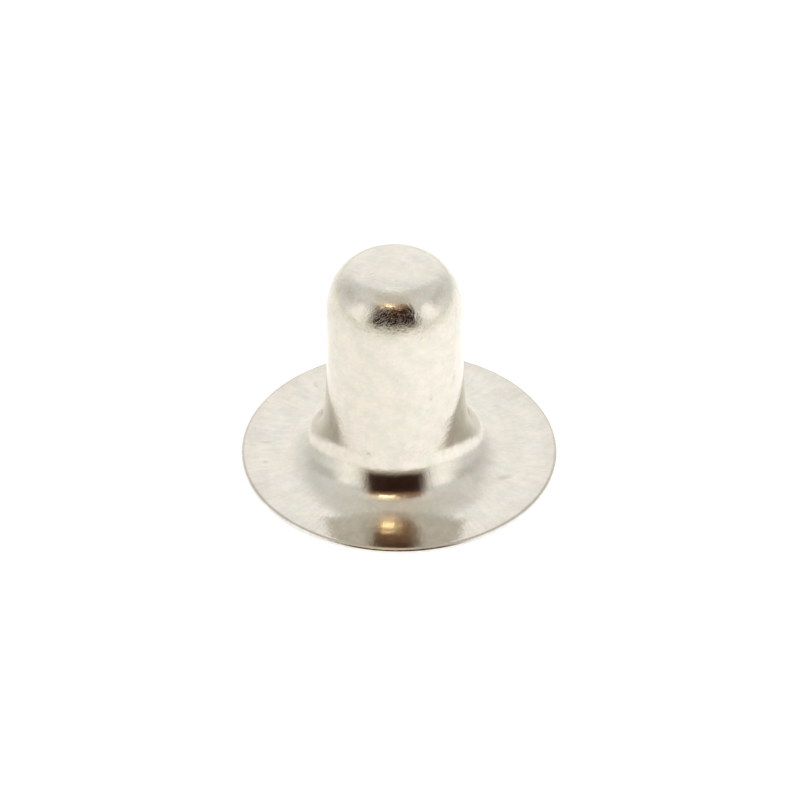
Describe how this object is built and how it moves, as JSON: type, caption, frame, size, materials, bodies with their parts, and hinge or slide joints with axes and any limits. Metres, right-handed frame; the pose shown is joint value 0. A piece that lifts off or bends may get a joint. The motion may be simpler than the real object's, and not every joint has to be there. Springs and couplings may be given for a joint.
{
  "type": "rivet",
  "caption": "Hollow drawn rivet post: a thin flat round flange, a concave foot and a tubular shank with a rounded closed end.",
  "frame": {"origin": "centre of the flange's underside, in the plane that it stands on", "axes": "+Z along the shank, from the flange to the closed end; the part is round, so X and Y are free"},
  "size_m": [0.008, 0.008, 0.0059],
  "materials": {
    "nickel_plate": "bright nickel plate over a drawn sheet, with fine draw lines, pits and a light warm tarnish"
  },
  "bodies": {
    "root": {"rivet_post": "nickel_plate"}
  },
  "joints": []
}
